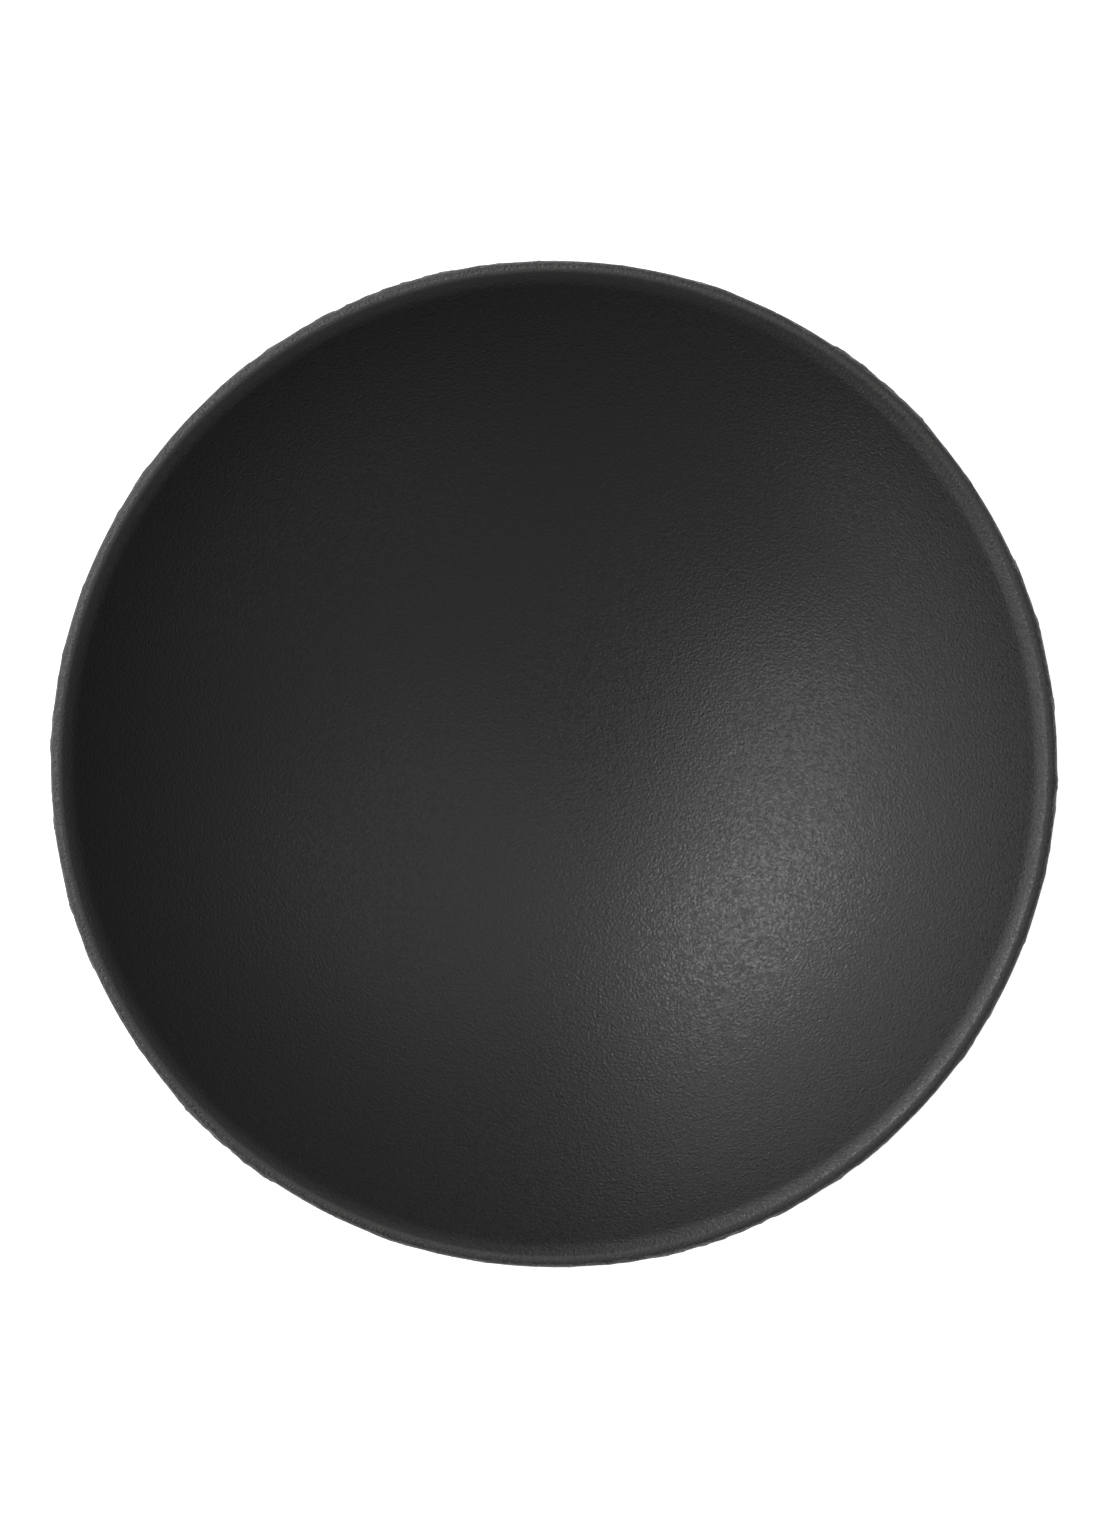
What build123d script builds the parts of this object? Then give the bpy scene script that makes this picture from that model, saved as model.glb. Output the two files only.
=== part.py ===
"""Matt black serving bowl: a round porcelain dish with a smooth inside, a rounded lip, a rough
slate-like outer wall and a low foot ring. Millimetres, +Z up, origin on the table under the centre.

The bowl is fired in one, so nothing on it moves. Its sub-parts are what it is made of: the clay body,
the foot ring luted under it, and the three glaze coats. The rough wall is drawn here at its highest
points, as a smooth surface of revolution.

Every surface is an arc about a named centre, so a coat is the space between the finished surface and
the same arcs moved into the clay by the coat's thickness.
"""

import os
from math import asin, atan, atan2, cos, degrees, radians, sin, sqrt

from build123d import *

# Overall
bowl_diameter = 280.0  # over the highest points of the rough wall
bowl_height = 80.0  # table to the top of the lip

# Lip: a round over its crest, wider on the side of the rough wall
lip_radius = 2.1  # crest to dish
brow_radius = 3.1  # crest to wall
blend_radius = 12.5  # eases the dish into the lip
lip_slope = 32.0  # degrees, where the blend meets the lip round

# Walls
base_thickness = 5.5  # at the centre, glaze to glaze
shoulder_radius = 8.0  # turns the wall from upright into the long outer curve

# Foot
foot_diameter = 110.0  # outside of the glazed foot ring
foot_width = 5.0  # glaze to glaze
foot_clearance = 3.5  # table to the underside at the centre
foot_edge_radius = 1.0
foot_joint_drop = 1.0  # the joint between the foot ring and the body, below the inner cove
outer_cove_radius = 4.0
inner_cove_radius = 3.0

# Glaze
glaze_thickness = 0.4
bare_height = 2.0  # the foot is left bare up to here

# Centre and radius of the dish, from where it has to start and end
wall_radius = bowl_diameter / 2
crest = wall_radius - brow_radius
lip_centre = (crest, bowl_height - lip_radius)
floor_height = foot_clearance + base_thickness
blend_reach = blend_radius - lip_radius
across = crest + blend_reach * sin(radians(lip_slope))
rise = bowl_height - floor_height + blend_reach * (1 - cos(radians(lip_slope)))
dish_slope = 2 * degrees(atan(rise / across))  # where the dish meets the blend
dish_radius = across / sin(radians(dish_slope)) - blend_radius
dish_centre = (0, floor_height + dish_radius)
blend_centre = (across, lip_centre[1] - blend_reach * cos(radians(lip_slope)))

# Outer curve: tangent to the shoulder, and foot_clearance above the table at the centre
widest_height = bowl_height - brow_radius
shoulder_centre = (wall_radius - shoulder_radius, widest_height)
shoulder_drop = widest_height - foot_clearance
outer_radius = (shoulder_centre[0] ** 2 + shoulder_drop**2 - shoulder_radius**2) / (
    2 * (shoulder_drop - shoulder_radius)
)
outer_centre = (0, foot_clearance + outer_radius)
shoulder_turn = degrees(atan2(outer_centre[1] - widest_height, shoulder_centre[0]))

# Foot ring walls and the coves that ease them into the outer curve
foot_outside = foot_diameter / 2
foot_inside = foot_outside - foot_width


def cove_centre(x, radius):
    """Centre of a cove that touches the underside of the outer curve, x from the axis."""
    return (x, outer_centre[1] - sqrt((outer_radius + radius) ** 2 - x**2))


outer_cove = cove_centre(foot_outside + outer_cove_radius, outer_cove_radius)
inner_cove = cove_centre(foot_inside - inner_cove_radius, inner_cove_radius)
outer_cove_turn = degrees(asin(outer_cove[0] / (outer_radius + outer_cove_radius)))
inner_cove_turn = degrees(asin(inner_cove[0] / (outer_radius + inner_cove_radius)))
foot_joint_height = inner_cove[1] - foot_joint_drop


def draw_inside(inset):
    """Inside surface moved inset into the clay, from the axis up to the crest of the lip."""
    dish = CenterArc(dish_centre, dish_radius + inset, -90, dish_slope)
    CenterArc(blend_centre, blend_radius - inset, 90 + dish_slope, lip_slope - dish_slope)
    lip = CenterArc(lip_centre, lip_radius - inset, 90 + lip_slope, -lip_slope)
    return dish @ 0, lip @ 1


def draw_outside(inset, end_height):
    """Outside surface moved inset into the clay, from the crest down the foot to end_height."""
    brow = CenterArc((crest, widest_height), brow_radius - inset, 90, -90)
    CenterArc(shoulder_centre, shoulder_radius - inset, 0, -shoulder_turn)
    CenterArc(
        outer_centre,
        outer_radius - inset,
        -shoulder_turn,
        outer_cove_turn - 90 + shoulder_turn,
    )
    cove = CenterArc(
        outer_cove,
        outer_cove_radius + inset,
        90 + outer_cove_turn,
        90 - outer_cove_turn,
    )
    wall = Line(cove @ 1, (foot_outside - inset, end_height))
    return brow @ 0, wall @ 1


def draw_well(inset, start_height):
    """Recess under the bowl moved inset into the clay, from start_height in the foot to the axis."""
    cove = CenterArc(inner_cove, inner_cove_radius + inset, 0, 90 + inner_cove_turn)
    wall = Line((foot_inside + inset, start_height), cove @ 0)
    base = CenterArc(outer_centre, outer_radius - inset, inner_cove_turn - 90, -inner_cove_turn)
    return wall @ 0, base @ 1


# The clay body: dish, wall and the flat face that the foot ring joins
with BuildPart() as porcelain_body:
    with BuildSketch(Plane.XZ):
        with BuildLine():
            floor_start, lip_end = draw_inside(glaze_thickness)
            outside_start, joint_outside = draw_outside(glaze_thickness, foot_joint_height)
            joint_inside, base_end = draw_well(glaze_thickness, foot_joint_height)
            Line(joint_outside, joint_inside)
            Line(base_end, floor_start)
        make_face()
    revolve(axis=Axis.Z)

# The foot ring, luted to the body and ground flat where it meets the table
with BuildPart() as foot_ring:
    ring_outside = foot_outside - glaze_thickness
    ring_inside = foot_inside + glaze_thickness
    with BuildSketch(Plane.XZ):
        with Locations(((ring_outside + ring_inside) / 2, foot_joint_height / 2)):
            ring_section = Rectangle(ring_outside - ring_inside, foot_joint_height)
        fillet(ring_section.vertices().group_by(Axis.Z)[0], foot_edge_radius)
    revolve(axis=Axis.Z)

# The smooth coat over the dish, up to the crest of the lip
with BuildPart() as inner_glaze:
    with BuildSketch(Plane.XZ):
        with BuildLine():
            face_start, face_end = draw_inside(0)
            back_start, back_end = draw_inside(glaze_thickness)
            Line(face_start, back_start)
            Line(face_end, back_end)
        make_face()
    revolve(axis=Axis.Z)

# The coat over the rough wall, from the crest to the outside of the foot
with BuildPart() as outer_glaze:
    with BuildSketch(Plane.XZ):
        with BuildLine():
            face_start, face_end = draw_outside(0, bare_height)
            back_start, back_end = draw_outside(glaze_thickness, bare_height)
            Line(face_start, back_start)
            Line(face_end, back_end)
        make_face()
    revolve(axis=Axis.Z)

# The coat in the recess inside the foot ring
with BuildPart() as well_glaze:
    with BuildSketch(Plane.XZ):
        with BuildLine():
            face_start, face_end = draw_well(0, bare_height)
            back_start, back_end = draw_well(glaze_thickness, bare_height)
            Line(face_start, back_start)
            Line(face_end, back_end)
        make_face()
    revolve(axis=Axis.Z)

sub_parts = {
    "porcelain_body": porcelain_body,
    "foot_ring": foot_ring,
    "inner_glaze": inner_glaze,
    "outer_glaze": outer_glaze,
    "well_glaze": well_glaze,
}

os.makedirs("parts", exist_ok=True)
for name, sub_part in sub_parts.items():
    sub_part.part.label = name
    export_step(sub_part.part, f"parts/{name}.step")
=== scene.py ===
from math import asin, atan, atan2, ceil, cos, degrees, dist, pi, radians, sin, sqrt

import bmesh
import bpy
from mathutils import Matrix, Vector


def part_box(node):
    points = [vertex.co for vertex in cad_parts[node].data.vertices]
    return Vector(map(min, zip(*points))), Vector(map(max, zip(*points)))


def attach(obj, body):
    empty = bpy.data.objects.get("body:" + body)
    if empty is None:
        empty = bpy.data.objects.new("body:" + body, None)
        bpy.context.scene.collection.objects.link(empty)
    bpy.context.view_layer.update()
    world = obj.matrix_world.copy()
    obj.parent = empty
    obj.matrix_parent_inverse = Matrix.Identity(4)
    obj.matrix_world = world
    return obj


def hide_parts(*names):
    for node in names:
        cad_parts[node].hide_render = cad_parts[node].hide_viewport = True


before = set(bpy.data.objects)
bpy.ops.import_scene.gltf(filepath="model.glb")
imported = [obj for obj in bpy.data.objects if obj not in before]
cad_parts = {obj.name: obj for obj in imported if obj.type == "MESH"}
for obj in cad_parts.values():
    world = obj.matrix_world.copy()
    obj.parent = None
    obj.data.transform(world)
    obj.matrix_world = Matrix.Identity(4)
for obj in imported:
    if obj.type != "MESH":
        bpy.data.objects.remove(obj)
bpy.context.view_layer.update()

# Matt black serving bowl. The dish and lip are smooth, the outer wall is broken like split slate, and
# the foot ring is left bare where it is ground. Every piece is turned about the bowl's own axis.
# Lengths are metres, angles are degrees unless they are in radians(), and +Z is up.

MM = 0.001

# ---------------------------------------------------------------- sizes

inner_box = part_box("inner_glaze")
outer_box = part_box("outer_glaze")
body_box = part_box("porcelain_body")
foot_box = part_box("foot_ring")

GLAZE = 0.4 * MM
LIP_RADIUS = 2.1 * MM
BLEND_RADIUS = 12.5 * MM  # eases the dish into the lip
LIP_SLOPE = 32.0  # degrees, where the blend meets the lip round
SHOULDER_RADIUS = 8.0 * MM
FOOT_WIDTH = 5.0 * MM  # glaze to glaze
FOOT_EDGE_RADIUS = 1.0 * MM
OUTER_COVE_RADIUS = 4.0 * MM
INNER_COVE_RADIUS = 3.0 * MM

top = inner_box[1].z
crest = inner_box[1].x
wall_radius = min(outer_box[1].x, -outer_box[0].x, outer_box[1].y, -outer_box[0].y)
floor_height = inner_box[0].z + GLAZE
underside = body_box[0].z - GLAZE
bare_height = outer_box[0].z
joint_height = foot_box[1].z
foot_outside = foot_box[1].x + GLAZE
foot_inside = foot_outside - FOOT_WIDTH

# Centre and radius of the dish, from where it has to start and end
brow_radius = wall_radius - crest
lip_centre = (crest, top - LIP_RADIUS)
blend_reach = BLEND_RADIUS - LIP_RADIUS
across = crest + blend_reach * sin(radians(LIP_SLOPE))
rise = top - floor_height + blend_reach * (1 - cos(radians(LIP_SLOPE)))
dish_slope = 2 * degrees(atan(rise / across))
dish_radius = across / sin(radians(dish_slope)) - BLEND_RADIUS
dish_centre = (0, floor_height + dish_radius)
blend_centre = (across, lip_centre[1] - blend_reach * cos(radians(LIP_SLOPE)))

# The brow on the wall's side of the lip, the shoulder and the long outer curve
widest_height = top - brow_radius
shoulder_centre = (wall_radius - SHOULDER_RADIUS, widest_height)
shoulder_drop = widest_height - underside
outer_radius = (shoulder_centre[0] ** 2 + shoulder_drop**2 - SHOULDER_RADIUS**2) / (
    2 * (shoulder_drop - SHOULDER_RADIUS)
)
outer_centre = (0, underside + outer_radius)
shoulder_turn = degrees(atan2(outer_centre[1] - widest_height, shoulder_centre[0]))


def cove_centre(x, radius):
    """Centre of a cove that touches the underside of the outer curve, x from the axis."""
    return (x, outer_centre[1] - sqrt((outer_radius + radius) ** 2 - x**2))


outer_cove = cove_centre(foot_outside + OUTER_COVE_RADIUS, OUTER_COVE_RADIUS)
inner_cove = cove_centre(foot_inside - INNER_COVE_RADIUS, INNER_COVE_RADIUS)
outer_cove_turn = degrees(asin(outer_cove[0] / (outer_radius + OUTER_COVE_RADIUS)))
inner_cove_turn = degrees(asin(inner_cove[0] / (outer_radius + INNER_COVE_RADIUS)))

# ---------------------------------------------------------------- turned shapes

SAME_POINT = 1e-7  # points nearer than this are one
ON_AXIS = 1e-6  # nearer to the axis than this is on it
SHARP_CORNER = radians(50)
CREST_STEP = 1.0  # a last step that lies nearly level, so that light runs over the crest unbroken
COVE_STEP = 0.9 * MM  # longest step round a cove, so that no clay shows through its coat


def arc(centre, radius, start, turn, step):
    """Points (distance from the axis, height) along an arc, step apart."""
    count = max(1, ceil(radius * abs(radians(turn)) / step))
    angles = [radians(start + turn * i / count) for i in range(count + 1)]
    return [(centre[0] + radius * cos(a), centre[1] + radius * sin(a)) for a in angles]


def line(start, end, step):
    """Points from start to end, step apart."""
    count = max(1, ceil(dist(start, end) / step))
    return [
        (start[0] + (end[0] - start[0]) * i / count, start[1] + (end[1] - start[1]) * i / count)
        for i in range(count + 1)
    ]


def joined(*runs):
    """One outline from runs that meet end to end, without the doubled points."""
    outline = []
    for run in runs:
        for point in run:
            if not outline or dist(point, outline[-1]) > SAME_POINT:
                outline.append(point)
    return outline


def inside_outline(inset, step):
    """The inside surface moved inset into the clay, from the axis up to the crest of the lip.

    The blend and the lip turn tighter than the dish, so their steps are a third and an eighth of it.
    """
    return joined(
        arc(dish_centre, dish_radius + inset, -90, dish_slope, step),
        arc(blend_centre, BLEND_RADIUS - inset, 90 + dish_slope, LIP_SLOPE - dish_slope, step / 3),
        arc(lip_centre, LIP_RADIUS - inset, 90 + LIP_SLOPE, CREST_STEP - LIP_SLOPE, step / 8),
        arc(lip_centre, LIP_RADIUS - inset, 90 + CREST_STEP, -CREST_STEP, step),
    )


def outside_outline(inset, foot_inset, end_height, step):
    """The outside surface moved into the clay, from the crest down the foot to end_height.

    The wall moves by inset, and the cove and the foot below it by foot_inset. The brow takes half
    steps, and the long curve longer ones, which saves triangles where it is nearly flat.
    """
    brow_centre = (crest, widest_height)
    cove = arc(
        outer_cove,
        OUTER_COVE_RADIUS + foot_inset,
        90 + outer_cove_turn,
        90 - outer_cove_turn,
        min(step, COVE_STEP),
    )
    return joined(
        arc(brow_centre, brow_radius - inset, 90, -CREST_STEP, step),
        arc(brow_centre, brow_radius - inset, 90 - CREST_STEP, CREST_STEP - 90, step / 2),
        arc(shoulder_centre, SHOULDER_RADIUS - inset, 0, -shoulder_turn, step),
        arc(
            outer_centre,
            outer_radius - inset,
            -shoulder_turn,
            outer_cove_turn - 90 + shoulder_turn,
            1.5 * step,
        ),
        cove,
        line(cove[-1], (foot_outside - foot_inset, end_height), step),
    )


def well_outline(inset, start_height, step):
    """The recess under the bowl moved inset into the clay, from the foot to the axis."""
    cove = arc(
        inner_cove, INNER_COVE_RADIUS + inset, 0, 90 + inner_cove_turn, min(step, COVE_STEP)
    )
    return joined(
        line((foot_inside + inset, start_height), cove[0], step),
        cove,
        arc(outer_centre, outer_radius - inset, inner_cove_turn - 90, -inner_cove_turn, step),
    )


def turned(name, outline, segments):
    """Turns a closed outline about the bowl's axis; the outline may start or end on the axis.

    Each point keeps "along", its distance down the outline, for patterns that follow the wall.
    Corners of the outline stay sharp.
    """
    angles = [2 * pi * k / segments for k in range(segments)]
    rings = []
    travelled = 0
    mesh = bmesh.new()
    along = mesh.verts.layers.float.new("along")
    for i, (x, z) in enumerate(outline):
        if i:
            travelled += dist(outline[i - 1], outline[i])
        if x < ON_AXIS:
            ring = [mesh.verts.new((0, 0, z))]
        else:
            ring = [mesh.verts.new((x * cos(a), x * sin(a), z)) for a in angles]
        for vert in ring:
            vert[along] = travelled
        rings.append(ring)
    pairs = list(zip(rings, rings[1:]))
    if len(rings[0]) > 1 or len(rings[-1]) > 1:
        pairs.append((rings[-1], rings[0]))
    for upper, lower in pairs:
        for k in range(segments):
            corners = [
                upper[k % len(upper)],
                upper[(k + 1) % len(upper)],
                lower[(k + 1) % len(lower)],
                lower[k % len(lower)],
            ]
            corners = list(dict.fromkeys(corners))
            if len(corners) > 2:
                mesh.faces.new(corners).smooth = True
    bmesh.ops.recalc_face_normals(mesh, faces=mesh.faces)
    for edge in mesh.edges:
        edge.smooth = edge.calc_face_angle(0.0) < SHARP_CORNER
    data = bpy.data.meshes.new(name)
    mesh.to_mesh(data)
    mesh.free()
    made = bpy.data.objects.new(name, data)
    bpy.context.scene.collection.objects.link(made)
    return made


# ---------------------------------------------------------------- nodes

MATHS = "ShaderNodeMath"
VECTORS = "ShaderNodeVectorMath"
COMBINE = "ShaderNodeCombineXYZ"
SEPARATE = "ShaderNodeSeparateXYZ"
NOISE = "ShaderNodeTexNoise"
CELLS = "ShaderNodeTexVoronoi"
RANGE = "ShaderNodeMapRange"
MIX = "ShaderNodeMix"

LEVEL = (1, 1, 0)  # times a place, leaves it on the ground plane
SHEETS = (0.2, 0.2, 1.0)  # times a place, draws a pattern out five times as far round as up


def add(tree, kind, inputs=None, **settings):
    """Adds a node; settings are its properties, and inputs gives each socket a link or a value."""
    made = tree.nodes.new(kind)
    for name, value in settings.items():
        setattr(made, name, value)
    for name, value in (inputs or {}).items():
        if isinstance(value, bpy.types.NodeSocket):
            tree.links.new(value, made.inputs[name])
        else:
            made.inputs[name].default_value = value
    return made


def linear(code):
    """An sRGB hex colour as linear RGBA."""
    shares = [int(code[i : i + 2], 16) / 255 for i in (1, 3, 5)]
    return [c / 12.92 if c <= 0.04045 else ((c + 0.055) / 1.055) ** 2.4 for c in shares] + [1.0]


# ---------------------------------------------------------------- broken wall

WALL_STEP = 1.0 * MM
WALL_SEGMENTS = 800
RELIEF_DEPTH = 2.4 * MM  # deepest break, on the long outer curve

# Distances from the crest down the wall
RELIEF_STARTS = 5 * MM  # the breaks start to deepen
RIM_ENDS = 6 * MM  # the stand-outs start to give way to the swells
RELIEF_GROWS = 30 * MM  # the breaks have their full depth, and the swells have taken over

STONE_ENDS = 12 * MM  # from here to the bare foot the wall is plain

# How large the breaks are, and how far out they lie, as shares of the relief
RIM_BREAKS, RIM_LEVEL = 0.75, 0.35
WALL_BREAKS, WALL_LEVEL = 1.35, 0.18

LEDGE_LEANS = 0.45  # how far a split layer leans out from its top to its foot
LEDGES_APART = 0.173  # distance in the pattern from layer to layer, so that each has its own
SWELLS = 1.1  # from the lowest swell that the open wall can have to the highest
RIM_LIES_BACK = -0.52  # the rim between its stand-outs

# Where the stone stands out under the lip: angle from +X and half-width, and how far out, as a
# share of the relief
STAND_OUTS = (
    (1, 7, 0.16),
    (17.5, 7, 0.47),
    (45.5, 10, 0.52),
    (60, 6, 0.16),
    (74, 10, 0.22),
    (86, 7, 0.16),
    (105, 8, 0.55),
    (120.5, 5, 0.42),
    (128, 7, 0.24),
    (147, 5, 0.10),
    (167, 4, 0.16),
    (176, 4, 0.22),
)


def round_the_stone(tree, position):
    """Place round the bowl, as two lengths (u, v) on a circle that goes round twice for each turn.

    The stone repeats every half turn, as the wall of a bowl does whose mould was cut for half a turn
    and used twice. The angle is doubled at half the distance from the axis, so lengths hold.
    """
    place = add(tree, SEPARATE, {0: position}).outputs
    flat = add(tree, VECTORS, {0: position, 1: LEVEL}, operation="MULTIPLY").outputs[0]
    reach = add(tree, VECTORS, {0: flat}, operation="LENGTH").outputs["Value"]
    xx = add(tree, MATHS, {0: place["X"], 1: place["X"]}, operation="MULTIPLY").outputs[0]
    yy = add(tree, MATHS, {0: place["Y"], 1: place["Y"]}, operation="MULTIPLY").outputs[0]
    xy = add(tree, MATHS, {0: place["X"], 1: place["Y"]}, operation="MULTIPLY").outputs[0]
    twice = add(tree, MATHS, {0: xx, 1: yy}, operation="SUBTRACT").outputs[0]
    half = add(tree, MATHS, {0: twice, 1: 0.5}, operation="MULTIPLY").outputs[0]
    u = add(tree, MATHS, {0: half, 1: reach}, operation="DIVIDE").outputs[0]
    v = add(tree, MATHS, {0: xy, 1: reach}, operation="DIVIDE").outputs[0]
    return u, v


def uneven(tree, given, where, length, detail, offset):
    """Unevenness with features of a length; offset keeps each pattern its own."""
    scale = add(tree, MATHS, {0: 1.0, 1: length}, operation="DIVIDE").outputs[0]
    w = add(tree, MATHS, {0: given["Seed"], 1: offset}, operation="ADD").outputs[0]
    sizes = {"Vector": where, "W": w, "Scale": scale, "Detail": detail}
    return add(tree, NOISE, sizes, noise_dimensions="4D").outputs["Fac"]


def chipped(tree, given, stone, length, squash, offset):
    """Stone broken into cells of a length, squashed in height.

    Gives the square of the distance from the middle of the cell, which is a shallow bowl, and the
    height of a flat facet that leans its own way in each cell.
    """
    scale = add(tree, MATHS, {0: 1.0, 1: length}, operation="DIVIDE").outputs[0]
    bend = uneven(tree, given, stone, length, 1.0, offset + 0.5)
    sway = add(tree, MATHS, {0: bend, 1: length}, operation="MULTIPLY").outputs[0]
    shape = add(tree, VECTORS, {0: stone, 1: (1, 1, squash)}, operation="MULTIPLY").outputs[0]
    moved = add(tree, VECTORS, {0: shape, 1: sway}, operation="ADD").outputs[0]
    w = add(tree, MATHS, {0: given["Seed"], 1: offset}, operation="ADD").outputs[0]
    sizes = {"Vector": moved, "W": w, "Scale": scale}
    cell = add(tree, CELLS, sizes, voronoi_dimensions="4D").outputs
    far = cell["Distance"]
    bowl = add(tree, MATHS, {0: far, 1: far}, operation="MULTIPLY").outputs[0]
    across = add(tree, VECTORS, {0: moved, 1: cell["Position"]}, operation="SUBTRACT").outputs[0]
    lean = add(tree, VECTORS, {0: cell["Color"], 1: (0.5, 0.5, 0.5)}, operation="SUBTRACT").outputs[0]
    facet = add(tree, VECTORS, {0: across, 1: lean}, operation="DOT_PRODUCT").outputs["Value"]
    facet = add(tree, MATHS, {0: facet, 1: scale}, operation="MULTIPLY").outputs[0]
    return bowl, facet


def split_layers(tree, given, stone, u, v, along):
    """A swaying height cut into steps, each of which leans out and has its own ledge."""
    sway = uneven(tree, given, stone, given["Swell Length"], 2.0, 5.0)
    bend = add(
        tree, MATHS, {0: sway, 1: given["Layer Sway"], 2: along}, operation="MULTIPLY_ADD"
    ).outputs[0]
    level = add(tree, MATHS, {0: bend, 1: given["Layer Height"]}, operation="DIVIDE").outputs[0]
    layer = add(tree, MATHS, {0: level}, operation="FLOOR").outputs[0]
    within = add(tree, MATHS, {0: level}, operation="FRACT").outputs[0]
    apart = add(tree, MATHS, {0: layer, 1: LEDGES_APART}, operation="MULTIPLY").outputs[0]
    split = add(tree, COMBINE, {0: u, 1: v, 2: apart}).outputs[0]
    ledge = uneven(tree, given, split, given["Flake Length"], 1.0, 9.0)
    layers = {0: within, 1: LEDGE_LEANS, 2: ledge}
    return add(tree, MATHS, layers, operation="MULTIPLY_ADD").outputs[0]


def breaks_in_stone(tree, given, stone, u, v, along):
    """All the breaks together, about 0 on average.

    Flakes leave leaning facets, chips leave shallow bowls with sharp ridges between them, and strata
    are the thin edges of the slate's own sheets, drawn out level.
    """
    layers = split_layers(tree, given, stone, u, v, along)
    hollows, flakes = chipped(tree, given, stone, given["Flake Length"], 1.8, 2.0)
    chips, corners = chipped(tree, given, stone, given["Chip Length"], 1.4, 7.0)
    sheet = add(tree, VECTORS, {0: stone, 1: SHEETS}, operation="MULTIPLY").outputs[0]
    strata = uneven(tree, given, sheet, given["Strata Height"], 2.0, 13.0)
    grit = uneven(tree, given, stone, given["Grit Length"], 3.0, 17.0)
    shares = (
        (layers, 0.9),
        (hollows, 0.35),
        (flakes, 1.6),
        (chips, 0.5),
        (corners, 0.8),
        (strata, 0.5),
        (grit, 0.35),
    )
    total = -1.12  # takes off what the shares come to on average
    for part, share in shares:
        total = add(tree, MATHS, {0: part, 1: share, 2: total}, operation="MULTIPLY_ADD").outputs[0]
    return total


def stand_outs(tree, u, v):
    """How far the rim stands out under the lip."""
    turn = add(tree, COMBINE, {0: u, 1: v}).outputs[0]
    turn = add(tree, VECTORS, {0: turn}, operation="NORMALIZE").outputs[0]
    rim = RIM_LIES_BACK
    for angle, half_width, out in STAND_OUTS:
        a = radians(2 * angle)
        near = add(tree, VECTORS, {0: turn, 1: (cos(a), sin(a), 0)}, operation="DOT_PRODUCT")
        edge = cos(radians(2 * half_width))
        bump = add(tree, RANGE, {"Value": near.outputs["Value"], "From Min": edge, "To Max": out})
        rim = add(tree, MATHS, {0: bump.outputs[0], 1: rim}, operation="ADD").outputs[0]
    return rim


def deepest_break(tree, given, along):
    """Deepest break at each distance down the wall.

    Over the brow it leaves the plain round of the lip, then it grows down the wall, and it runs out
    above the foot and on the hidden back.
    """
    quarter = add(tree, MATHS, {0: along, 1: given["Brow Radius"]}, operation="DIVIDE").outputs[0]
    quarter = add(tree, MATHS, {0: quarter, 1: pi / 2}, operation="MINIMUM").outputs[0]
    drop = add(tree, MATHS, {0: quarter}, operation="COSINE").outputs[0]
    drop = add(tree, MATHS, {0: 1.0, 1: drop}, operation="SUBTRACT").outputs[0]
    spare = add(
        tree, MATHS, {0: given["Brow Radius"], 1: given["Lip Radius"]}, operation="SUBTRACT"
    ).outputs[0]
    most = add(tree, MATHS, {0: given["Relief Depth"], 1: spare}, operation="SUBTRACT").outputs[0]
    grown = add(
        tree,
        RANGE,
        {"Value": along, "From Min": RELIEF_STARTS, "From Max": given["Relief Grows"], "To Max": most},
    ).outputs[0]
    deepest = add(tree, MATHS, {0: drop, 1: spare, 2: grown}, operation="MULTIPLY_ADD").outputs[0]
    end = given["Wall Length"]
    start = add(tree, MATHS, {0: end, 1: given["Foot Fade"]}, operation="SUBTRACT").outputs[0]
    fade = add(
        tree,
        RANGE,
        {"Value": along, "From Min": start, "From Max": end, "To Min": 1.0, "To Max": 0.0},
        interpolation_type="SMOOTHSTEP",
    ).outputs[0]
    return add(tree, MATHS, {0: deepest, 1: fade}, operation="MULTIPLY").outputs[0]


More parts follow.
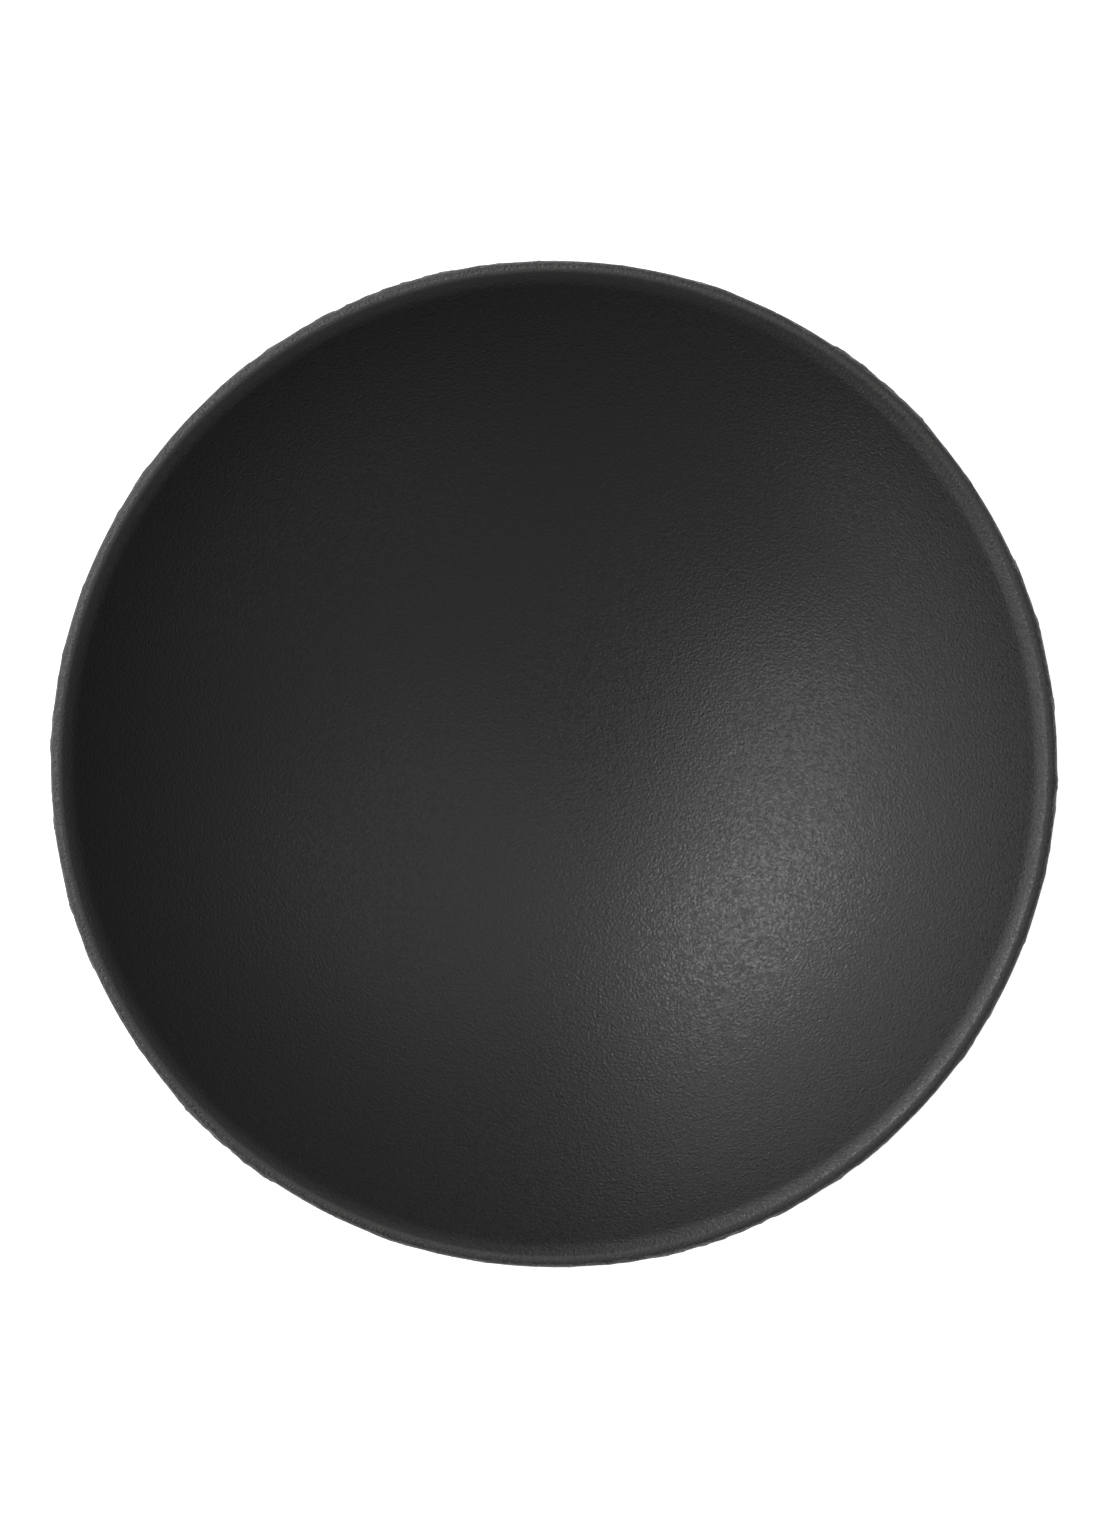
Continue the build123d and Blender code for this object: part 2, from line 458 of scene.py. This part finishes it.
def slate_tree():
    """Carves a turned wall into split and chipped slate, inwards from its surface."""
    tree = bpy.data.node_groups.new("slate_wall", "GeometryNodeTree")
    sizes = {
        "Brow Radius": brow_radius,
        "Lip Radius": LIP_RADIUS,
        "Relief Depth": RELIEF_DEPTH,
        "Relief Grows": RELIEF_GROWS,
        "Wall Length": 120 * MM,
        "Foot Fade": 6 * MM,
        "Swell Length": 32 * MM,
        "Layer Height": 7 * MM,
        "Layer Sway": 26 * MM,
        "Flake Length": 15 * MM,
        "Chip Length": 6 * MM,
        "Strata Height": 2.6 * MM,
        "Grit Length": 2.2 * MM,
        "Seed": 3.0,
    }
    face = tree.interface
    face.new_socket("Wall", in_out="INPUT", socket_type="NodeSocketGeometry")
    for name, value in sizes.items():
        face.new_socket(name, in_out="INPUT", socket_type="NodeSocketFloat").default_value = value
    face.new_socket("Material", in_out="INPUT", socket_type="NodeSocketMaterial")
    face.new_socket("Wall", in_out="OUTPUT", socket_type="NodeSocketGeometry")
    given = tree.nodes.new("NodeGroupInput").outputs

    position = add(tree, "GeometryNodeInputPosition").outputs[0]
    along = add(
        tree, "GeometryNodeInputNamedAttribute", {"Name": "along"}, data_type="FLOAT"
    ).outputs[0]
    u, v = round_the_stone(tree, position)
    stone = add(tree, COMBINE, {0: u, 1: v, 2: along}).outputs[0]

    # Swells, where the whole face of the stone stands out or falls back. Under the lip they come
    # from the stand-outs, and further down they drift.
    away = add(
        tree,
        RANGE,
        {"Value": along, "From Min": RIM_ENDS, "From Max": given["Relief Grows"]},
        interpolation_type="SMOOTHSTEP",
    ).outputs[0]
    drift = uneven(tree, given, stone, given["Swell Length"], 1.0, 0.0)
    drift = add(
        tree, MATHS, {0: drift, 1: SWELLS, 2: -SWELLS / 2}, operation="MULTIPLY_ADD"
    ).outputs[0]
    rim = stand_outs(tree, u, v)
    swells = add(tree, MIX, {"Factor": away, 2: rim, 3: drift}, data_type="FLOAT").outputs[0]

    # Height of the stone, from 0 at the bottom of the breaks to 1 where it stands proud
    breaks = breaks_in_stone(tree, given, stone, u, v, along)
    size = {0: away, 1: WALL_BREAKS - RIM_BREAKS, 2: RIM_BREAKS}
    size = add(tree, MATHS, size, operation="MULTIPLY_ADD").outputs[0]
    level = {0: away, 1: WALL_LEVEL - RIM_LEVEL, 2: RIM_LEVEL}
    level = add(tree, MATHS, level, operation="MULTIPLY_ADD").outputs[0]
    breaks = add(tree, MATHS, {0: breaks, 1: size, 2: level}, operation="MULTIPLY_ADD").outputs[0]
    proud = add(tree, MATHS, {0: breaks, 1: swells}, operation="ADD").outputs[0]
    proud = add(tree, "ShaderNodeClamp", {"Value": proud, "Min": 0.0, "Max": 1.0}).outputs[0]

    deepest = deepest_break(tree, given, along)
    low = add(tree, MATHS, {0: proud, 1: 1.0}, operation="SUBTRACT").outputs[0]
    inwards = add(tree, MATHS, {0: low, 1: deepest}, operation="MULTIPLY").outputs[0]
    normal = add(tree, "GeometryNodeInputNormal").outputs[0]
    move = add(tree, VECTORS, {0: normal, "Scale": inwards}, operation="SCALE").outputs[0]
    marked = add(
        tree,
        "GeometryNodeStoreNamedAttribute",
        {"Geometry": given["Wall"], "Name": "proud", "Value": proud},
        data_type="FLOAT",
        domain="POINT",
    ).outputs[0]
    broken = add(tree, "GeometryNodeSetPosition", {"Geometry": marked, "Offset": move}).outputs[0]
    real = add(tree, "GeometryNodeRealizeInstances", {0: broken}).outputs[0]
    coated = add(
        tree, "GeometryNodeSetMaterial", {"Geometry": real, "Material": given["Material"]}
    ).outputs[0]
    add(tree, "NodeGroupOutput", {0: coated})
    return tree


def carved(wall, tree, material, sizes):
    """Runs the tree on a turned wall and returns the result as a plain mesh object."""
    modifier = wall.modifiers.new("slate", "NODES")
    modifier.node_group = tree
    given = {**sizes, "Material": material}
    for item in tree.interface.items_tree:
        if item.in_out == "INPUT" and item.name in given:
            modifier[item.identifier] = given[item.name]
    graph = bpy.context.evaluated_depsgraph_get()
    data = bpy.data.meshes.new_from_object(wall.evaluated_get(graph))
    name = wall.name
    bpy.data.objects.remove(wall)
    data.name = name
    made = bpy.data.objects.new(name, data)
    bpy.context.scene.collection.objects.link(made)
    return made


# ---------------------------------------------------------------- materials

GLAZE_BLACK = "#242424"
GLAZE_BLACK_CRYSTAL = "#272727"
GLAZE_THIN_AND_PAINTED_HIGHLIGHT = "#3d3c3b"  # over an edge, where the clay greys it; along the lip's crest it is also a painted highlight
GLAZE_SMOOTHEST = 0.24  # roughness of the smoothest crystals
STONE_SMOOTHEST = 0.30
LIP_THINNEST = 0.2 * MM  # on each side of the crest, where the thin glaze and the painted highlight are full
LIP_THINS = 1.5 * MM  # reach of the thin glaze and the painted highlight on each side of the crest
CRYSTAL = 0.7 * MM  # patch of crystals; the single ones are too fine to show
CRYSTAL_GLOSS = 0.28  # spread in roughness from one patch of crystals to the next
CLOUD = 28 * MM  # where the spray lay thicker or thinner
CLOUD_GLOSS = 0.04  # spread in roughness that it leaves
SPRAY = 0.8 * MM  # droplets of the spray, which fuse to a faint orange peel
SPRAY_DEPTH = 0.16 * MM  # deeper than the real one, which wouldn't show
SHEET = 1.1 * MM  # height of a sheet of slate
SHEET_DEPTH = 0.4 * MM
GRIT = 1.6 * MM
GRIT_DEPTH = 0.45 * MM
GRIT_WEARS = 0.5  # how far the grit breaks up the worn places
WORN = (0.8, 1.3)  # how proud the stone is where the glaze starts to wear, and where it is worn
MOST_WORN = 0.8  # share of thin glaze there

BISQUE = "#cdc8be"
BISQUE_SOILED = "#b3ada2"
BISQUE_SPECK = "#8c8478"
BISQUE_ROUGHNESS = 0.8
CLAY_GRAIN = 0.5 * MM
CLAY_GRAIN_DEPTH = 0.04 * MM
GRINDING = 0.35 * MM  # from ring to ring; coarser than the real ones, which wouldn't show
GRINDING_DEPTH = 0.06 * MM
SOIL = 9 * MM
SPECKS = (0.30, 0.36)  # grain under the first is a full speck, and over the second none
SPECK_SHARE = 0.75

CERAMIC_IOR = 1.5


def new_material(name):
    """An empty material, its node tree and the place on the piece."""
    material = bpy.data.materials.new(name)
    material.use_nodes = True
    tree = material.node_tree
    tree.nodes.clear()
    place = add(tree, "ShaderNodeTexCoord").outputs["Object"]
    return material, tree, place


def surface(tree, shade, roughness, relief):
    """Ends a material: its colour, its roughness and its relief in metres, on a ceramic."""
    bump = add(tree, "ShaderNodeBump", {"Strength": 1.0, "Distance": 1.0, "Height": relief}).outputs[0]
    shader = add(
        tree,
        "ShaderNodeBsdfPrincipled",
        {"Base Color": shade, "Roughness": roughness, "IOR": CERAMIC_IOR, "Normal": bump},
    ).outputs[0]
    add(tree, "ShaderNodeOutputMaterial", {"Surface": shader})


def distance_from_axis(tree, place):
    """How far a place is from the bowl's axis."""
    flat = add(tree, VECTORS, {0: place, 1: LEVEL}, operation="MULTIPLY").outputs[0]
    return add(tree, VECTORS, {0: flat}, operation="LENGTH").outputs["Value"]


def thin_glaze_and_painted_highlight_over_crest(tree, place):
    """Share of thin glaze and painted highlight, from 1 on the crest of the lip to 0 a little way off
    it.
    """
    reach = distance_from_axis(tree, place)
    height = add(tree, SEPARATE, {0: place}).outputs["Z"]
    section = add(tree, COMBINE, {0: reach, 1: height}).outputs[0]
    off = add(tree, VECTORS, {0: section, 1: (crest, top, 0)}, operation="DISTANCE").outputs["Value"]
    return add(
        tree,
        RANGE,
        {"Value": off, "From Min": LIP_THINNEST, "From Max": LIP_THINS, "To Min": 1.0, "To Max": 0.0},
        interpolation_type="SMOOTHSTEP",
    ).outputs[0]


def over_stone(tree, place, relief, thin_and_highlit):
    """The rock under the glaze: its sheets and grit added to the relief, and the thin glaze spread to
    whatever stands proud."""
    sheet = add(tree, VECTORS, {0: place, 1: SHEETS}, operation="MULTIPLY").outputs[0]
    strata = add(
        tree, NOISE, {"Vector": sheet, "Scale": 1 / SHEET, "Detail": 3.0, "Roughness": 0.6}
    ).outputs["Fac"]
    grit = add(
        tree, NOISE, {"Vector": place, "Scale": 1 / GRIT, "Detail": 4.0, "Roughness": 0.65}
    ).outputs["Fac"]
    for part, depth in ((strata, SHEET_DEPTH), (grit, GRIT_DEPTH)):
        relief = add(tree, MATHS, {0: part, 1: depth, 2: relief}, operation="MULTIPLY_ADD").outputs[0]
    proud = add(tree, "ShaderNodeAttribute", attribute_name="proud").outputs["Fac"]
    worn = add(tree, MATHS, {0: grit, 1: GRIT_WEARS, 2: proud}, operation="MULTIPLY_ADD").outputs[0]
    worn = add(
        tree,
        RANGE,
        {"Value": worn, "From Min": WORN[0], "From Max": WORN[1], "To Max": MOST_WORN},
        interpolation_type="SMOOTHSTEP",
    ).outputs[0]
    thin_and_highlit = add(tree, MATHS, {0: thin_and_highlit, 1: worn}, operation="MAXIMUM").outputs[0]
    return relief, thin_and_highlit


def matt_black_glaze(name, smoothest, on_stone):
    """Matt black glaze, sprayed on and fired: it is full of fine crystals, some patches of them duller
    than others, so the light spreads into one wide soft gloss with a sparkling grain. It is a little
    greyer where it runs thin over an edge, and along the crest of the lip that grey is also a painted
    highlight. On stone it also shows the rock's own sheets and grit, and it breaks to grey along
    whatever stands proud. The smoothest crystals have the roughness given.
    """
    material, tree, place = new_material(name)
    cells = add(tree, CELLS, {"Vector": place, "Scale": 1 / CRYSTAL}).outputs["Color"]
    crystal = add(tree, SEPARATE, {0: cells}).outputs[0]
    cloud = add(tree, NOISE, {"Vector": place, "Scale": 1 / CLOUD, "Detail": 2.0}).outputs["Fac"]
    gloss = {0: cloud, 1: CLOUD_GLOSS, 2: smoothest - CLOUD_GLOSS / 2}
    gloss = add(tree, MATHS, gloss, operation="MULTIPLY_ADD").outputs[0]
    gloss = {0: crystal, 1: CRYSTAL_GLOSS, 2: gloss}
    gloss = add(tree, MATHS, gloss, operation="MULTIPLY_ADD").outputs[0]
    spray = add(
        tree, NOISE, {"Vector": place, "Scale": 1 / SPRAY, "Detail": 1.0, "Roughness": 0.55}
    ).outputs["Fac"]
    relief = add(tree, MATHS, {0: spray, 1: SPRAY_DEPTH}, operation="MULTIPLY").outputs[0]
    # share of thin glaze, which along the lip's crest is also a painted highlight
    thin_and_highlit = thin_glaze_and_painted_highlight_over_crest(tree, place)
    if on_stone:
        relief, thin_and_highlit = over_stone(tree, place, relief, thin_and_highlit)
    shade = {"Factor": crystal, 6: linear(GLAZE_BLACK_CRYSTAL), 7: linear(GLAZE_BLACK)}
    shade = add(tree, MIX, shade, data_type="RGBA").outputs[2]
    # grey of thin glaze over edges and worn stone, and a painted highlight along the lip's crest
    shade = {"Factor": thin_and_highlit, 6: shade, 7: linear(GLAZE_THIN_AND_PAINTED_HIGHLIGHT)}
    shade = add(tree, MIX, shade, data_type="RGBA").outputs[2]
    surface(tree, shade, gloss, relief)
    return material


def bisque(name):
    """Bare porcelain, fired and then ground flat on a wet wheel: pale and dull, with fine rings from
    the grinding, a few darker specks in the clay and a little soiling from the table."""
    material, tree, place = new_material(name)
    reach = distance_from_axis(tree, place)
    rings = add(
        tree, NOISE, {"W": reach, "Scale": 1 / GRINDING, "Detail": 2.0}, noise_dimensions="1D"
    ).outputs["Fac"]
    clay = add(tree, NOISE, {"Vector": place, "Scale": 1 / CLAY_GRAIN, "Detail": 3.0}).outputs["Fac"]
    soil = add(tree, NOISE, {"Vector": place, "Scale": 1 / SOIL, "Detail": 4.0}).outputs["Fac"]
    speck = {"Value": clay, "From Min": SPECKS[0], "From Max": SPECKS[1], "To Min": SPECK_SHARE}
    speck = add(tree, RANGE, {**speck, "To Max": 0.0}).outputs[0]
    shade = {"Factor": soil, 6: linear(BISQUE), 7: linear(BISQUE_SOILED)}
    shade = add(tree, MIX, shade, data_type="RGBA").outputs[2]
    shade = {"Factor": speck, 6: shade, 7: linear(BISQUE_SPECK)}
    shade = add(tree, MIX, shade, data_type="RGBA").outputs[2]
    relief = add(tree, MATHS, {0: clay, 1: CLAY_GRAIN_DEPTH}, operation="MULTIPLY").outputs[0]
    relief = {0: rings, 1: GRINDING_DEPTH, 2: relief}
    relief = add(tree, MATHS, relief, operation="MULTIPLY_ADD").outputs[0]
    surface(tree, shade, BISQUE_ROUGHNESS, relief)
    return material


smooth_glaze = matt_black_glaze("matt_black_glaze", GLAZE_SMOOTHEST, False)
rough_glaze = matt_black_glaze("matt_black_glaze_on_stone", STONE_SMOOTHEST, True)
bare_porcelain = bisque("bare_ground_porcelain")

# ---------------------------------------------------------------- pieces

SMOOTH_STEP = 1.6 * MM
SMOOTH_SEGMENTS = 256
HIDDEN_STEP = 4 * SMOOTH_STEP  # on the faces that another piece covers
WALL_HIDDEN_STEP = 12 * WALL_STEP
EDGE_STEP = 0.2 * MM
BODY_INSET = RELIEF_DEPTH + GLAZE  # keeps the clay behind the deepest break in the wall


def inner_glaze_coat():
    """The smooth coat over the dish and the lip, up to the crest."""
    face = inside_outline(0, SMOOTH_STEP)
    back = inside_outline(GLAZE, HIDDEN_STEP)
    made = turned("inner_glaze_coat", face + back[::-1], SMOOTH_SEGMENTS)
    made.data.materials.append(smooth_glaze)
    return made


def outer_glaze_coat():
    """The coat over the broken wall, from the crest to the bare foot. It is as thick as the breaks
    are deep, because they are carved into it."""
    face = outside_outline(0, 0, bare_height, WALL_STEP)
    back = outside_outline(BODY_INSET, GLAZE, bare_height, WALL_HIDDEN_STEP)
    wall = turned("outer_glaze_coat", face + back[::-1], WALL_SEGMENTS)
    length = sum(dist(a, b) for a, b in zip(face, face[1:]))
    return carved(wall, slate_tree(), rough_glaze, {"Wall Length": length - STONE_ENDS})


def porcelain_body_core():
    """The clay, from the lip to the flat face that the foot ring joins."""
    outline = joined(
        inside_outline(GLAZE, HIDDEN_STEP)[:-1],
        outside_outline(BODY_INSET, GLAZE, joint_height, HIDDEN_STEP),
        well_outline(GLAZE, joint_height, SMOOTH_STEP),
    )
    made = turned("porcelain_body_core", outline, SMOOTH_SEGMENTS)
    made.data.materials.append(bare_porcelain)
    return made


def well_glaze_coat():
    """The coat in the recess inside the foot ring."""
    face = well_outline(0, bare_height, SMOOTH_STEP / 2)
    back = well_outline(GLAZE, bare_height, SMOOTH_STEP)
    made = turned("well_glaze_coat", face + back[::-1], SMOOTH_SEGMENTS)
    made.data.materials.append(smooth_glaze)
    return made


def foot_ring_ground():
    """The foot ring, with its edges rounded where it is ground."""
    outside = foot_outside - GLAZE
    inside = foot_inside + GLAZE
    edge = FOOT_EDGE_RADIUS
    outline = joined(
        line((inside, joint_height), (inside, edge), MM),
        arc((inside + edge, edge), edge, 180, 90, EDGE_STEP),
        arc((outside - edge, edge), edge, -90, 90, EDGE_STEP),
        line((outside, edge), (outside, joint_height), MM),
    )
    made = turned("foot_ring_ground", outline, SMOOTH_SEGMENTS)
    made.data.materials.append(bare_porcelain)
    return made


inner = inner_glaze_coat()
outer = outer_glaze_coat()
body = porcelain_body_core()
well = well_glaze_coat()
foot = foot_ring_ground()

for piece, node_name, slot_name in (
    (inner, "inner_glaze", "smooth_glaze"),
    (outer, "outer_glaze", "rough_glaze"),
    (well, "well_glaze", "smooth_glaze"),
    (body, "porcelain_body", "porcelain"),
    (foot, "foot_ring", "porcelain"),
):
    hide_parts(node_name)
    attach(piece, "root")

# ---------------------------------------------------------------- floor, light and camera

FLOOR_SIZE = 16.0
FLOOR_LIGHT = 0.8
OPAL = "#f0f0f0"


def light_table():
    """Opal acrylic lit from below, as product tables are: white, with hardly any shadow on it."""
    data = bpy.data.meshes.new("floor")
    h = FLOOR_SIZE / 2
    data.from_pydata([(-h, -h, 0), (h, -h, 0), (h, h, 0), (-h, h, 0)], [], [(0, 1, 2, 3)])
    made = bpy.data.objects.new("floor", data)
    bpy.context.scene.collection.objects.link(made)
    material = bpy.data.materials.new("opal_acrylic")
    material.use_nodes = True
    shader = material.node_tree.nodes["Principled BSDF"]
    shader.inputs["Base Color"].default_value = linear(OPAL)
    shader.inputs["Roughness"].default_value = 0.9
    shader.inputs["Specular IOR Level"].default_value = 0.0
    shader.inputs["Emission Color"].default_value = linear("#ffffff")
    shader.inputs["Emission Strength"].default_value = FLOOR_LIGHT
    data.materials.append(material)


LIGHT_DISTANCE = 1.4

# Name, azimuth from +X, tilt from straight up, size and brightness of each light
SOFTBOXES = (
    ("key_left", 178, 48, 1.0, 1.82),
    ("key_right", 132, 50, 0.6, 3.37),
    ("key_middle", 150, 52, 0.5, 3.07),
    ("key_high", 150, 38, 0.9, 0.63),
    ("key_far", 198, 56, 0.7, 0.52),
    ("side_low", 115, 62, 0.6, 0.93),
    ("overhead", 43, 31, 1.5, 0.45),
    ("front_fill", 315, 58, 1.5, 0.16),
)


def softbox(name, azimuth, tilt, size, brightness):
    """A square light aimed at the bowl, as bright at any size; a larger one gives more light."""
    data = bpy.data.lights.new(name, "AREA")
    data.shape = "SQUARE"
    data.size = size
    data.energy = brightness * pi * size**2
    made = bpy.data.objects.new(name, data)
    bpy.context.scene.collection.objects.link(made)
    a, t = radians(azimuth), radians(tilt)
    aim = Vector((sin(t) * cos(a), sin(t) * sin(a), cos(t)))
    made.location = Vector((0, 0, top)) + aim * LIGHT_DISTANCE
    made.rotation_euler = (-aim).to_track_quat("-Z", "Y").to_euler()
    made.visible_camera = False


ROOM_LIGHT = 0.22
PAPER_LIGHT = 1.0
LIT_WALL_LIGHT = 1.85
LIT_WALL_AZIMUTH = 164.0
LIT_WALL_SIDES = (0.34, 0.50)  # cosine of the angle from its middle, where it starts and is full
LIT_WALL_TOP = (0.16, 0.32)  # sine of the angle above the floor, where it fades and has gone


def studio():
    """A dim room, with one wall lit low down behind the key lights. White paper hides it from view."""
    made = bpy.data.worlds.new("studio")
    bpy.context.scene.world = made
    made.use_nodes = True
    tree = made.node_tree
    tree.nodes.clear()
    way = add(tree, "ShaderNodeTexCoord").outputs["Generated"]
    height = add(tree, SEPARATE, {0: way}).outputs["Z"]
    flat = add(tree, VECTORS, {0: way, 1: LEVEL}, operation="MULTIPLY").outputs[0]
    flat = add(tree, VECTORS, {0: flat}, operation="NORMALIZE").outputs[0]
    a = radians(LIT_WALL_AZIMUTH)
    facing = add(tree, VECTORS, {0: flat, 1: (cos(a), sin(a), 0)}, operation="DOT_PRODUCT")
    start, full = LIT_WALL_SIDES
    side = add(
        tree,
        RANGE,
        {
            "Value": facing.outputs["Value"],
            "From Min": start,
            "From Max": full,
            "To Max": LIT_WALL_LIGHT,
        },
        interpolation_type="SMOOTHSTEP",
    ).outputs[0]
    fades, gone = LIT_WALL_TOP
    low = add(
        tree,
        RANGE,
        {"Value": height, "From Min": fades, "From Max": gone, "To Min": 1.0, "To Max": 0.0},
        interpolation_type="SMOOTHSTEP",
    ).outputs[0]
    strength = add(tree, MATHS, {0: side, 1: low, 2: ROOM_LIGHT}, operation="MULTIPLY_ADD").outputs[0]
    seen = add(tree, "ShaderNodeLightPath").outputs["Is Camera Ray"]
    strength = add(tree, MIX, {"Factor": seen, 2: strength, 3: PAPER_LIGHT}).outputs[0]
    light = add(tree, "ShaderNodeBackground", {"Color": (1, 1, 1, 1), "Strength": strength}).outputs[0]
    add(tree, "ShaderNodeOutputWorld", {"Surface": light})


LENS = 100.0
SENSOR = 36.0
BOWL_SHARE = 0.66191  # the bowl's width, as a share of the frame's height


def camera_above():
    """A camera over the middle of the bowl, looking straight down."""
    data = bpy.data.cameras.new("camera")
    data.lens = LENS
    data.sensor_width = SENSOR
    made = bpy.data.objects.new("camera", data)
    bpy.context.scene.collection.objects.link(made)
    distance = 2 * wall_radius * LENS / SENSOR / BOWL_SHARE
    made.location = (0, 0, widest_height + distance)
    bpy.context.scene.camera = made


light_table()
studio()
for row in SOFTBOXES:
    softbox(*row)
camera_above()
bpy.context.scene.view_settings.view_transform = "Standard"
